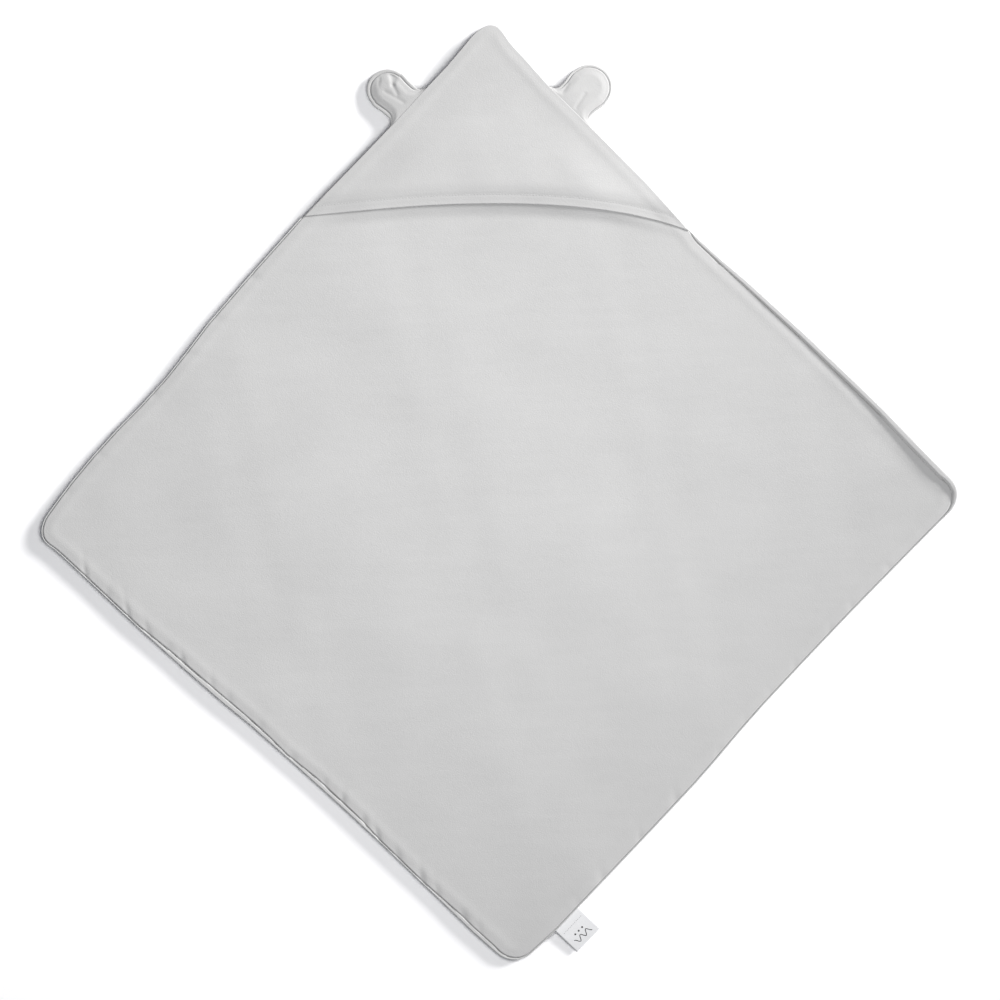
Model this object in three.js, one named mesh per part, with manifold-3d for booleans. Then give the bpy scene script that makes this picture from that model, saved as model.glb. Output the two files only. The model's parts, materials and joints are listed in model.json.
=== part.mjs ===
// Hooded baby towel, spread flat with its hood on top.
// Two towelling panels are sewn together all round and turned, with no binding. A hood of two plies
// covers one corner, two rounded ears stand out of the hood's side seams, and a folded ribbon label
// stands out of a lower seam. The real panels are one piece each: here they are divided at three fold
// lines, so that both side corners and the foot corner can fold over.
//
// Millimetres, +Z up. The origin is on the underside, in the middle of the towel's length and width.
// +Y runs to the hood's corner and +X to the right-hand corner.

import * as THREE from 'three';
import { mergeVertices } from 'three/addons/utils/BufferGeometryUtils.js';
import Module from 'manifold-3d';

// Towel outline
const towelLength = 1121; // hood corner to foot corner
const towelWidth = 1101; // side corner to side corner
const sideCornerY = -23; // the side corners lie this far towards the foot
const cornerRadius = 30;

// Cloth and thread
const clothThickness = 2.2;
const earClothThickness = 1.7;
const threadThickness = 0.4;
const threadWidth = 1.2;
const layerGap = 0.3; // clearance between layers that touch on the real towel
const seamInset = 6; // the perimeter seam's thread, from the towel's edge

// Fold lines
const foldGap = 0.6; // clearance along a fold line
const foldedTipGap = 98; // left between the side corners when both are folded in
const edgeBetweenFolds = 62; // lower edge left between a side fold and the foot fold

// Hood
const hoodInset = 2; // the hood's sides, from the towel's edge
const mouthReachLeft = 325; // from the sharp corner point down the left side to the mouth
const mouthReachRight = 361;
const mouthRise = 21; // the mouth's curve above the line between its ends
const mouthSkew = 51; // the curve's crest leans towards the right-hand end
const mouthSeamInset = 3;
const topstitchInset = 11;
const hoodRestAngle = THREE.MathUtils.degToRad(3.5);

// Ears
const earReach = 147; // from the sharp corner point down the side to the ear's middle
const earHeadRadius = 26.5;
const earHeadOut = 33; // the head's centre, from the side seam
const earFlareRadius = 13; // the hollow curve between head and seam
const earFlareOut = 12.5; // that curve's centre, from the side seam
const earSeamInset = 4;

// Label
const labelReach = 64; // from the foot's sharp corner point up the right side
const labelWidth = 40;
const labelLength = 36;
const ribbonThickness = 0.5;
const ribbonSlot = 0.6; // between the folded ribbon's two plies

const outlineSegments = 6;
const up = new THREE.Vector3(0, 0, 1);

// The towel's stack of layers, from the underside up
const seamZ = clothThickness + layerGap;
const innerZ = seamZ + threadThickness + layerGap;
const towelTop = innerZ + clothThickness;

// Centres of the corner arcs
const corner = {
  hood: new THREE.Vector2(0, towelLength / 2 - cornerRadius),
  left: new THREE.Vector2(cornerRadius - towelWidth / 2, sideCornerY),
  foot: new THREE.Vector2(0, cornerRadius - towelLength / 2),
  right: new THREE.Vector2(towelWidth / 2 - cornerRadius, sideCornerY),
};

const wasm = await Module();
wasm.setup();

const towelling = { color: 0xd6d6d6, roughness: 0.95, metalness: 0 };
const hoodTowelling = { color: 0xd8d8d8, roughness: 0.95, metalness: 0 };
const thread = { color: 0xcbcbcb, roughness: 0.7, metalness: 0 };
const satin = { color: 0xf2f2f4, roughness: 0.45, metalness: 0 };

const group = new THREE.Group();

function addPiece(parent, name, geometry, finish) {
  const mesh = new THREE.Mesh(geometry, new THREE.MeshStandardMaterial(finish));
  mesh.name = name;
  parent.add(mesh);
}

function solidOf(geometry) {
  const bare = geometry.clone();
  bare.deleteAttribute('normal');
  bare.deleteAttribute('uv');
  const merged = mergeVertices(bare);
  const vertProperties = new Float32Array(merged.attributes.position.array);
  const triVerts = new Uint32Array(merged.index.array);
  return new wasm.Manifold(new wasm.Mesh({ numProp: 3, vertProperties, triVerts }));
}

function geometryOf(solid) {
  const mesh = solid.getMesh();
  const geometry = new THREE.BufferGeometry();
  geometry.setAttribute('position', new THREE.BufferAttribute(mesh.vertProperties, 3));
  geometry.setIndex(new THREE.BufferAttribute(mesh.triVerts, 1));
  return geometry;
}

// A flat layer of the given outline, lying on height z
function layer(shape, z, thickness) {
  const options = { depth: thickness, bevelEnabled: false, curveSegments: outlineSegments };
  return new THREE.ExtrudeGeometry(shape, options).translate(0, 0, z);
}

// One straight side as seen from the hood's or the foot's end: the sharp point where its line meets
// the towel's long axis, the direction along it and the direction out of the towel.
function sideFrom(end, side) {
  const along = side.clone().sub(end).normalize();
  const out = new THREE.Vector2(along.y, -along.x);
  if (out.x * side.x < 0) out.negate();
  const sharp = new THREE.Vector2(0, end.y + Math.sign(end.y) * cornerRadius / Math.abs(along.x));
  return { sharp, along, out };
}

const hoodSide = { left: sideFrom(corner.hood, corner.left), right: sideFrom(corner.hood, corner.right) };
const footSide = { left: sideFrom(corner.foot, corner.left), right: sideFrom(corner.foot, corner.right) };

function pointOn(side, reach, outwards) {
  const point = side.sharp.clone().addScaledVector(side.along, reach);
  return point.addScaledVector(side.out, outwards);
}

function angleOf(direction) {
  return Math.atan2(direction.y, direction.x);
}

// The towel's outline, moved in from its edge: four corner arcs joined by straight sides
function towelPath(path, inset) {
  const radius = cornerRadius - inset;
  const turns = [
    [corner.right, footSide.right, hoodSide.right],
    [corner.hood, hoodSide.right, hoodSide.left],
    [corner.left, hoodSide.left, footSide.left],
    [corner.foot, footSide.left, footSide.right],
  ];
  for (const [centre, before, after] of turns) {
    path.absarc(centre.x, centre.y, radius, angleOf(before.out), angleOf(after.out), false);
  }
  path.closePath();
  return path;
}

function seamRing() {
  const ring = towelPath(new THREE.Shape(), seamInset);
  ring.holes.push(towelPath(new THREE.Path(), seamInset + threadWidth));
  return ring;
}

// The side folds leave foldedTipGap between the folded corners. The foot fold starts further down
// the lower edges, so that the folded foot stays clear of the folded sides.
const sideFoldX = towelWidth / 4 + foldedTipGap / 4;
const sideFoldReach = sideFoldX / Math.abs(footSide.left.along.x);
const footFoldY = pointOn(footSide.left, sideFoldReach - edgeBetweenFolds, 0).y;

const halfGap = foldGap / 2;
const beyond = towelLength + towelWidth;
const middleX = [halfGap - sideFoldX, sideFoldX - halfGap];
const region = {
  centre: { x: middleX, y: [footFoldY + halfGap, beyond] },
  left: { x: [-beyond, -sideFoldX - halfGap], y: [-beyond, beyond] },
  right: { x: [sideFoldX + halfGap, beyond], y: [-beyond, beyond] },
  foot: { x: middleX, y: [-beyond, footFoldY - halfGap] },
  top: { x: middleX, y: [sideCornerY, beyond] },
  lower_left: { x: [middleX[0], 0], y: [footFoldY + halfGap, sideCornerY] },
  lower_right: { x: [0, middleX[1]], y: [footFoldY + halfGap, sideCornerY] },
};

// The part of a towel layer that lies within one region between the fold lines
function cutTo(geometry, { x, y }) {
  const block = new THREE.BoxGeometry(x[1] - x[0], y[1] - y[0], 4 * towelTop);
  block.translate((x[0] + x[1]) / 2, (y[0] + y[1]) / 2, 0);
  return geometryOf(solidOf(geometry).intersect(solidOf(block)));
}

function addPanels() {
  const outline = towelPath(new THREE.Shape(), 0);
  const outer = layer(outline, 0, clothThickness);
  const inner = layer(outline, innerZ, clothThickness);
  for (const part of ['centre', 'left', 'right', 'foot']) {
    addPiece(group, `outer_panel_${part}`, cutTo(outer, region[part]), towelling);
    addPiece(group, `inner_panel_${part}`, cutTo(inner, region[part]), towelling);
  }
}

function addSeamThread() {
  const ring = layer(seamRing(), seamZ, threadThickness);
  for (const part of ['top', 'lower_left', 'lower_right', 'left', 'right', 'foot']) {
    addPiece(group, `seam_thread_${part}`, cutTo(ring, region[part]), thread);
  }
}

// A hood ply in the hood's own frame, whose origin is the hood corner's tip. It is cut back from the
// towel's edge by sideInset and from the mouth by mouthInset.
function hoodShape(sideInset, mouthInset) {
  const tip = new THREE.Vector2(0, towelLength / 2);
  const back = new THREE.Vector2(0, mouthInset);
  const left = pointOn(hoodSide.left, mouthReachLeft, -sideInset).sub(tip).add(back);
  const right = pointOn(hoodSide.right, mouthReachRight, -sideInset).sub(tip).add(back);
  left.x += mouthInset * Math.tan(halfAngle(hoodSide.left));
  right.x -= mouthInset * Math.tan(halfAngle(hoodSide.right));
  const crest = left.clone().add(right).multiplyScalar(0.5);
  crest.add(new THREE.Vector2(mouthSkew, 2 * mouthRise));
  const start = angleOf(hoodSide.right.out);
  const end = angleOf(hoodSide.left.out);
  const shape = new THREE.Shape();
  shape.moveTo(right.x, right.y);
  shape.absarc(0, -cornerRadius, cornerRadius - sideInset, start, end, false);
  shape.lineTo(left.x, left.y);
  shape.quadraticCurveTo(crest.x, crest.y, right.x, right.y);
  return shape;
}

// Between a side and the towel's long axis
function halfAngle(side) {
  return Math.atan2(Math.abs(side.along.x), Math.abs(side.along.y));
}

// A line of stitches along the hood's mouth
function mouthStitches(mouthInset, z) {
  const line = solidOf(layer(hoodShape(seamInset, mouthInset), z, threadThickness));
  const rest = layer(hoodShape(hoodInset, mouthInset + threadWidth), z - layerGap, clothThickness);
  return geometryOf(line.subtract(solidOf(rest)));
}

function addHood() {
  const hood = new THREE.Group();
  hood.position.set(0, towelLength / 2, towelTop + layerGap);
  hood.rotation.x = -hoodRestAngle;
  group.add(hood);
  const ply = hoodShape(hoodInset, 0);
  addPiece(hood, 'hood_lining', layer(ply, 0, clothThickness), hoodTowelling);
  addPiece(hood, 'hood_mouth_seam', mouthStitches(mouthSeamInset, seamZ), thread);
  addPiece(hood, 'hood_outer', layer(ply, innerZ, clothThickness), hoodTowelling);
  addPiece(hood, 'hood_topstitch', mouthStitches(topstitchInset, towelTop + layerGap), thread);
}

// An ear's outline: x runs along the side seam and y out of the towel. A round head stands on a neck
// with hollow sides, and its foot ends on the line y = base.
function earShape(inset, base) {
  const head = earHeadRadius - inset;
  const flare = earFlareRadius + inset;
  const drop = earHeadOut - earFlareOut;
  const flareX = Math.sqrt((earHeadRadius + earFlareRadius) ** 2 - drop ** 2);
  const meet = Math.atan2(drop, -flareX);
  const foot = Math.PI + Math.asin((earFlareOut - base) / flare);
  const shape = new THREE.Shape();
  shape.absarc(flareX, earFlareOut, flare, foot, meet, true);
  shape.absarc(0, earHeadOut, head, meet - Math.PI, -meet, false);
  shape.absarc(-flareX, earFlareOut, flare, Math.PI - meet, Math.PI - foot, true);
  shape.closePath();
  return shape;
}

function earStitches(z) {
  const line = solidOf(layer(earShape(earSeamInset, layerGap), z, threadThickness));
  const inside = layer(earShape(earSeamInset + threadWidth, -layerGap), z - layerGap, earClothThickness);
  return geometryOf(line.subtract(solidOf(inside)));
}

// A group on a side seam whose axes run as given: out of the towel, and up
function seamGroup(side, reach, axes) {
  const seam = new THREE.Group();
  const place = pointOn(side, reach, 0);
  seam.position.set(place.x, place.y, 0);
  seam.setRotationFromMatrix(new THREE.Matrix4().makeBasis(...axes));
  group.add(seam);
  return seam;
}

function addEar(name, side) {
  const out = new THREE.Vector3(side.out.x, side.out.y, 0);
  const ear = seamGroup(side, earReach, [out.clone().cross(up), out, up]);
  const backZ = seamZ - layerGap - earClothThickness;
  const ply = earShape(0, layerGap);
  addPiece(ear, `${name}_back`, layer(ply, backZ, earClothThickness), towelling);
  addPiece(ear, `${name}_seam`, earStitches(seamZ), thread);
  addPiece(ear, `${name}_front`, layer(ply, innerZ, earClothThickness), towelling);
}

// The folded ribbon seen from its side edge: x runs out of the towel and y runs up
function ribbonProfile() {
  const outer = ribbonThickness + ribbonSlot / 2;
  const foldX = labelLength - outer;
  const shape = new THREE.Shape();
  shape.moveTo(layerGap, -outer);
  shape.absarc(foldX, 0, outer, -Math.PI / 2, Math.PI / 2, false);
  shape.lineTo(layerGap, outer);
  shape.lineTo(layerGap, ribbonSlot / 2);
  shape.absarc(foldX, 0, ribbonSlot / 2, Math.PI / 2, -Math.PI / 2, true);
  shape.lineTo(layerGap, -ribbonSlot / 2);
  shape.closePath();
  return shape;
}

function addLabel() {
  const side = footSide.right;
  const out = new THREE.Vector3(side.out.x, side.out.y, 0);
  const label = seamGroup(side, labelReach + labelWidth, [out, up, out.clone().cross(up)]);
  label.position.z = seamZ + threadThickness / 2;
  addPiece(label, 'label_ribbon', layer(ribbonProfile(), 0, labelWidth), satin);
}

addPanels();
addSeamThread();
addHood();
addEar('ear_left', hoodSide.left);
addEar('ear_right', hoodSide.right);
addLabel();

export default group;
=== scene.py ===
# Hooded baby towel, spread flat with its hood corner up: two towelling panels sewn and turned, a hood
# of two plies, two rounded ears and a folded satin label. Everything is in metres, in the frame's axes.

import json
import math

import bmesh
import bpy
import numpy as np
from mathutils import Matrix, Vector

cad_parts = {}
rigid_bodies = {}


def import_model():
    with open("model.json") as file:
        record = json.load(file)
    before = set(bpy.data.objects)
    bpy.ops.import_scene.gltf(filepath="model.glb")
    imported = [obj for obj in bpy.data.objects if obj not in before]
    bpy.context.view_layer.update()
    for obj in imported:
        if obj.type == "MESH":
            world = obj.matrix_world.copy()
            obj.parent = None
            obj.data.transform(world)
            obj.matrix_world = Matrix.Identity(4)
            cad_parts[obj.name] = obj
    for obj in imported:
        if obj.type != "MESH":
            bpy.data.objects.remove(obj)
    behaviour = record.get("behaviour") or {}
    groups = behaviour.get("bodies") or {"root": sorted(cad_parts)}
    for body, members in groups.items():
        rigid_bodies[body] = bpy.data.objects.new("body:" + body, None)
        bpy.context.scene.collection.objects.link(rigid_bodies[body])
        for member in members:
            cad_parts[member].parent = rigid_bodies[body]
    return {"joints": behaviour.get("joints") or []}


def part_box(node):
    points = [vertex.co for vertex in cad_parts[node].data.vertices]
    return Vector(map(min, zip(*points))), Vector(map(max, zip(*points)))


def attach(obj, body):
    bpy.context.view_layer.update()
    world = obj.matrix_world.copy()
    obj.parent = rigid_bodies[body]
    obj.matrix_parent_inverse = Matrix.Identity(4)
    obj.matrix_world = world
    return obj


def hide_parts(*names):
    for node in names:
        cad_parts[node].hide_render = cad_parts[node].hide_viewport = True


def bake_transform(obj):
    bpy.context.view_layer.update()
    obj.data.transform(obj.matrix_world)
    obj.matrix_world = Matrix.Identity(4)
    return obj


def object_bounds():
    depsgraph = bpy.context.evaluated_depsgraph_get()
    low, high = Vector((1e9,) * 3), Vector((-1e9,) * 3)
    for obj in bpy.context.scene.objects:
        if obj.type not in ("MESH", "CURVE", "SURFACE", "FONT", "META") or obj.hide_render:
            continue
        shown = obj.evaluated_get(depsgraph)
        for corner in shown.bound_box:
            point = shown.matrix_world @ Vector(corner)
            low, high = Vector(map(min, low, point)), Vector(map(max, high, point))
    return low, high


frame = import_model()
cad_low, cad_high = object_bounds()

mm = 0.001

# ------------------------------
# Camera, floor and light. The towel is seen from straight above, turned a little under the camera.
# Low soft daylight and a lamp from the upper right draw the seams, and a panel above fills in.

view_width = 1.205
camera_height = 4.0
camera_place = (2.3 * mm, -9.5 * mm, camera_height)
camera_turn = math.radians(-1.86)
sensor_width = 36.0

scene_objects = bpy.context.scene.collection.objects
camera_data = bpy.data.cameras.new("camera")
camera_data.sensor_width = sensor_width
camera_data.lens = sensor_width * camera_height / view_width
camera = bpy.data.objects.new("camera", camera_data)
camera.location = camera_place
camera.rotation_euler = (0, 0, camera_turn)
scene_objects.link(camera)
bpy.context.scene.camera = camera
bpy.context.scene.view_settings.view_transform = "Standard"


def add_node(tree, kind, settings, inputs):
    """A node whose inputs are plain values or the outputs of other nodes."""
    made = tree.nodes.new(kind)
    for key, value in settings.items():
        setattr(made, key, value)
    for key, value in inputs.items():
        if isinstance(value, bpy.types.NodeSocket):
            tree.links.new(value, made.inputs[key])
        else:
            made.inputs[key].default_value = value
    return made


class Value:
    """A number inside a finish. Sums and products on it add their Math nodes."""

    def __init__(self, finish, socket):
        self.finish = finish
        self.socket = socket

    def maths(self, operation, *values):
        sockets = dict(enumerate(values))
        return self.finish.add("ShaderNodeMath", {"operation": operation}, sockets)

    def __add__(self, other):
        return self.maths("ADD", self, other)

    def __sub__(self, other):
        return self.maths("SUBTRACT", self, other)

    def __rsub__(self, other):
        return self.maths("SUBTRACT", other, self)

    def __mul__(self, other):
        return self.maths("MULTIPLY", self, other)

    __radd__ = __add__


class Finish:
    """A material under construction: nodes are added by add(), and end() gives its surface."""

    def __init__(self, name):
        self.material = bpy.data.materials.new(name)
        self.material.use_nodes = True
        self.tree = self.material.node_tree
        self.tree.nodes.clear()

    def node(self, kind, settings, inputs):
        plain = {key: getattr(value, "socket", value) for key, value in inputs.items()}
        return add_node(self.tree, kind, settings, plain)

    def add(self, kind, settings, inputs, output=0):
        return Value(self, self.node(kind, settings, inputs).outputs[output])

    def place(self):
        """Where on the piece the surface is, in the piece's own axes."""
        return self.add("ShaderNodeTexCoord", {}, {}, output=3)

    def between(self, share, dark, light):
        """A colour between a dark and a light one."""
        inputs = {"Factor": share, 6: (*dark, 1), 7: (*light, 1)}
        return self.add("ShaderNodeMix", {"data_type": "RGBA"}, inputs, output=2)

    def bump(self, height, strength, deep):
        inputs = {"Height": height, "Strength": strength, "Distance": deep}
        return self.add("ShaderNodeBump", {}, inputs)

    def end(self, **inputs):
        """The surface itself. Underscores in the names stand for spaces."""
        named = {key.replace("_", " "): value for key, value in inputs.items()}
        surface = self.add("ShaderNodeBsdfPrincipled", {}, named)
        self.node("ShaderNodeOutputMaterial", {}, {"Surface": surface})
        return self.material


floor_finish = Finish("plain_floor").end(
    Base_Color=(0.97, 0.97, 0.98, 1), Roughness=0.9, Specular_IOR_Level=0.1,
)
floor_size = 30.0
floor_gap = 0.2 * mm
floor_mesh = bpy.data.meshes.new("floor")
floor_corners = [(-1, -1, 0), (1, -1, 0), (1, 1, 0), (-1, 1, 0)]
floor_points = [Vector(corner) * floor_size / 2 for corner in floor_corners]
floor_mesh.from_pydata(floor_points, [], [(0, 1, 2, 3)])
floor_mesh.materials.append(floor_finish)
floor = bpy.data.objects.new("floor", floor_mesh)
floor.location.z = cad_low.z - floor_gap
scene_objects.link(floor)


def add_light(kind, name, energy, colour, place, target, **settings):
    data = bpy.data.lights.new(name, kind)
    data.energy = energy
    data.color = colour
    for key, value in settings.items():
        setattr(data, key, value)
    light = bpy.data.objects.new(name, data)
    light.location = place
    light.rotation_euler = (Vector(target) - Vector(place)).to_track_quat("-Z", "Y").to_euler()
    scene_objects.link(light)


key_height = math.radians(18)
key_side = Vector((0.88, 0.47)).normalized() * math.cos(key_height)
key_from = Vector((*key_side, math.sin(key_height)))
key_colour = (1.0, 0.99, 0.98)
window_spread = math.radians(17)
add_light("SUN", "low_window", 4.27, key_colour, key_from, (0, 0, 0), angle=window_spread)
lamp_place = 3.0 * key_from
lamp_aim = (-0.7, 0.9, 0)
lamp_cone = {"spot_size": math.radians(60), "spot_blend": 1.0, "shadow_soft_size": 0.45}
add_light("SPOT", "low_key", 359, key_colour, lamp_place, lamp_aim, **lamp_cone)
panel_place = (0.138, -0.024, 1.35)
panel_aim = (0.138, -0.024, 0)
add_light("AREA", "soft_panel", 13.6, (1, 0.995, 0.99), panel_place, panel_aim, size=0.7)
world = bpy.data.worlds.new("studio")
world.use_nodes = True
sky = world.node_tree.nodes["Background"].inputs
sky["Color"].default_value = (0.95, 0.975, 1.03, 1)
sky["Strength"].default_value = 0.224
bpy.context.scene.world = world

# ------------------------------
# The towel's outline. The real towel is a square of about 80 cm whose corners are rounded, and its
# seams bow in and out by a few millimetres as it lies. Pieces are drawn on the straight outline and
# then settled onto the bowed one.

corner_radius = 30 * mm
side_corner_y = -23 * mm
half_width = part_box("outer_panel_right")[1].x
tip_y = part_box("outer_panel_centre")[1].y
foot_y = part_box("outer_panel_foot")[0].y


class Seam:
    """A straight side between two corner arcs, followed clockwise as seen from above."""

    def __init__(self, start, end):
        run = np.subtract(end, start)
        self.start = np.array(start)
        self.length = float(np.hypot(*run))
        self.along = run / self.length
        self.out = np.array((-self.along[1], self.along[0]))
        self.place = 0.0

    def measure(self, x, y):
        """How far a point lies along the seam from its start, and how deep inside the edge."""
        east, north = x - self.start[0], y - self.start[1]
        depth = corner_radius - (east * self.out[0] + north * self.out[1])
        return east * self.along[0] + north * self.along[1], depth


corners = [
    (0, tip_y - corner_radius),
    (half_width - corner_radius, side_corner_y),
    (0, foot_y + corner_radius),
    (corner_radius - half_width, side_corner_y),
]
upper_right, lower_right, lower_left, upper_left = seams = [
    Seam(corners[k], corners[(k + 1) % 4]) for k in range(4)
]


def turn_between(before, after):
    """The angle from one outward direction clockwise to another."""
    cross = before[0] * after[1] - before[1] * after[0]
    return np.arctan2(-cross, before[0] * after[0] + before[1] * after[1])


perimeter = 0.0
for k in range(4):
    seams[k].place = perimeter
    perimeter += seams[k].length
    perimeter += corner_radius * turn_between(seams[k].out, seams[(k + 1) % 4].out)


def edge_place(x, y):
    """How far along the outline a point lies, clockwise from the hood's arc, and how far inside it."""
    place = np.zeros(x.shape)
    inside = np.full(x.shape, np.inf)
    for seam in seams:
        reach, depth = seam.measure(x, y)
        reach = np.clip(reach, 0, seam.length)
        nearer = depth < inside
        inside = np.where(nearer, depth, inside)
        place = np.where(nearer, seam.place + reach, place)
    for k in range(4):
        before, after = seams[k - 1], seams[k]
        east, north = x - after.start[0], y - after.start[1]
        turned = turn_between(before.out, (east, north))
        whole = turn_between(before.out, after.out)
        in_arc = (turned > 0) & (turned < whole)
        arc_place = before.place + before.length + corner_radius * turned
        place = np.where(in_arc, arc_place, place)
        inside = np.where(in_arc, corner_radius - np.hypot(east, north), inside)
    return place, inside


def edge_point(place, inset):
    """The point of the outline at a place along it, moved in from the edge."""
    place = np.mod(place, perimeter)
    x, y = np.zeros(place.shape), np.zeros(place.shape)
    for k in range(4):
        seam, following = seams[k], seams[(k + 1) % 4]
        reach = place - seam.place
        level = corner_radius - inset
        on_seam = (reach >= 0) & (reach <= seam.length)
        x = np.where(on_seam, seam.start[0] + seam.along[0] * reach + seam.out[0] * level, x)
        y = np.where(on_seam, seam.start[1] + seam.along[1] * reach + seam.out[1] * level, y)
        turned = (reach - seam.length) / corner_radius
        on_arc = (turned > 0) & (turned <= turn_between(seam.out, following.out))
        heading = np.arctan2(seam.out[1], seam.out[0]) - turned
        x = np.where(on_arc, following.start[0] + level * np.cos(heading), x)
        y = np.where(on_arc, following.start[1] + level * np.sin(heading), y)
    return x, y


def along_edge(*keys):
    """A length that changes along the outline: each key is a place, how far past it, and a value."""
    places, values = zip(*sorted(((p + past * mm) % perimeter, v) for p, past, v in keys))
    return lambda place: np.interp(place, places, values, period=perimeter) * mm


# How far each seam bows outward, in millimetres, at shares of its length. Its depth fades with reach.
bow_reach = 120 * mm
bows = {
    upper_right: (
        (0, 0), (0.055, -1), (0.11, -3.5), (0.22, -3), (0.33, -3.5), (0.39, -6), (0.44, -8), (0.5, -6),
        (0.55, -2.8), (0.61, -0.8), (0.67, 1.3), (0.78, 3), (0.85, 3.7), (0.94, 2.2), (1, 1.5),
    ),
    lower_right: (
        (0, -2), (0.1, -3), (0.22, -3.8), (0.33, -3.4), (0.44, -2.3), (0.5, -0.4), (0.56, 2.4),
        (0.61, 4.2), (0.72, 5.4), (0.89, 5.8), (0.944, 6.2), (1, 3.5),
    ),
    lower_left: (
        (0, 0), (0.055, 0.6), (0.11, -0.5), (0.17, -1.5), (0.25, -3.3), (0.35, -3.9), (0.45, -3.5),
        (0.55, -2.4), (0.61, 0), (0.7, 1.5), (0.8, 2), (0.9, 1), (1, 0),
    ),
    upper_left: (
        (0, -4), (0.055, -0.5), (0.11, 0.8), (0.17, 0.2), (0.22, -2.2), (0.28, -3), (0.33, -1),
        (0.39, 2.4), (0.5, 3), (0.61, 2.2), (0.67, 0), (0.72, -2), (0.78, -4), (0.83, -5.8),
        (0.89, -6.7), (0.944, -8.3), (1, -7.5),
    ),
}
# Corners drawn off the straight outline, in millimetres east and north.
pull_reach = 22 * mm
pulls = ((0, (4.5, 6.0)), (1, (1.0, 0.0)), (3, (-2.0, -4.0)))


def settle(x, y):
    """Moves points of the straight outline onto the outline as it lies, with its bowed seams."""
    moved_x, moved_y = x.copy(), y.copy()
    for seam in seams:
        reach, depth = seam.measure(x, y)
        shares, values = zip(*bows[seam])
        fade = np.clip(1 - np.maximum(depth, 0) / bow_reach, 0, 1) ** 2
        bow = np.interp(reach / seam.length, shares, values) * mm * fade
        moved_x += seam.out[0] * bow
        moved_y += seam.out[1] * bow
    for corner, (pull_x, pull_y) in pulls:
        outward = seams[corner - 1].out + seams[corner].out
        arc_top = corners[corner] + corner_radius * outward / np.hypot(*outward)
        east, north = x - arc_top[0], y - arc_top[1]
        near = np.exp(-(east**2 + north**2) / pull_reach**2)
        moved_x += pull_x * mm * near
        moved_y += pull_y * mm * near
    return moved_x, moved_y


# ------------------------------
# The two panels, of short-piled cotton towelling. They are sewn face to face, turned, and pressed, so
# the outer panel rolls a little over the edge and the seam lies in a furrow just inside it. The roll
# stands up as a lip at the right, lies flat under the hood's sides, and puckers at the lower left.

loft = 7.0 * mm
seam_share = 0.45
ply_gap = 0.05 * mm
mouth_inset = 2 * mm
fold_inset = 3 * mm
hood_west, hood_east = (corner.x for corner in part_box("hood_outer"))


def place_where(seam, axis, value, inset=fold_inset):
    """The place along the outline where a seam crosses x (axis 0) or y (axis 1) at this value."""
    reach = (value - seam.start[axis] - seam.out[axis] * (corner_radius - inset)) / seam.along[axis]
    return seam.place + reach


mouth_right = place_where(upper_right, 0, hood_east, mouth_inset)
mouth_left = place_where(upper_left, 0, hood_west, mouth_inset)
right_arc = upper_right.place + upper_right.length
foot_arc = lower_right.place + lower_right.length
left_arc = lower_left.place + lower_left.length
tip_arc = upper_left.place + upper_left.length

# How far the outer panel rolls over the edge, which is where the seam's furrow runs.
low = lower_left.place
roll_width = along_edge(
    (0, 0, 0.9), (mouth_right, -2, 0.9), (mouth_right, 14, 4.8), (right_arc, -300, 5.6),
    (right_arc, -160, 6.2), (right_arc, -10, 6.8), (right_arc, 30, 4.2), (right_arc, 50, 1.6),
    (foot_arc, -60, 1.4), (foot_arc, 18, 1.6), (low, 5, 3.8), (low, 60, 4.2), (low, 120, 1.6),
    (low, 190, 1.5), (low, 230, 4.6), (low, 300, 5.2), (low, 345, 2.4), (low, 375, 4.4),
    (low, 430, 5.6), (low, 520, 4.8), (low, 580, 1.5), (left_arc, 0, 1.3), (left_arc, 70, 1.3),
    (mouth_left, 0, 1.1), (tip_arc, 0, 0.9),
)

# How far the rolled edge stands above the panel beside it.
roll_height = along_edge(
    (0, 0, -3.6), (mouth_right, -2, -3.6), (mouth_right, 3, 0.3), (mouth_right, 40, 0.4),
    (right_arc, -350, 1.2), (right_arc, -160, 2.4), (right_arc, -25, 6.0), (right_arc, 12, 4.6),
    (right_arc, 34, 0.6), (right_arc, 55, -0.3), (foot_arc, 0, -0.3), (low, 0, -0.4),
    (left_arc, 0, -0.4), (mouth_left, -3, -0.3), (mouth_left, 2, -3.6), (tip_arc, 0, -3.6),
)

mouth_bow = (51 * mm, 42 * mm)
hood_inset = 0.4 * mm
crown_place = (tip_arc + perimeter) / 2
right_sweep = mouth_right + perimeter - crown_place
left_sweep = mouth_left - crown_place


def hood_row(share, across):
    """Points from side to side of the hood: share is 0 at its tip and 1 at its mouth."""
    left_x, left_y = edge_point(crown_place + share * left_sweep, hood_inset)
    right_x, right_y = edge_point(crown_place + share * right_sweep, hood_inset)
    swell = 2 * across * (1 - across) * share**2
    x = left_x + (right_x - left_x) * across + swell * mouth_bow[0]
    y = left_y + (right_y - left_y) * across + swell * mouth_bow[1]
    return x, y


mouth_x, mouth_y = hood_row(np.ones(161), np.linspace(0, 1, 161))
mouth_tilt = np.cos(np.arctan(np.gradient(mouth_y, mouth_x)))


def above_mouth(x, y):
    """How far a point lies above the line of the hood's mouth, square to it."""
    return (y - np.interp(x, mouth_x, mouth_y)) * np.interp(x, mouth_x, mouth_tilt)


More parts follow.
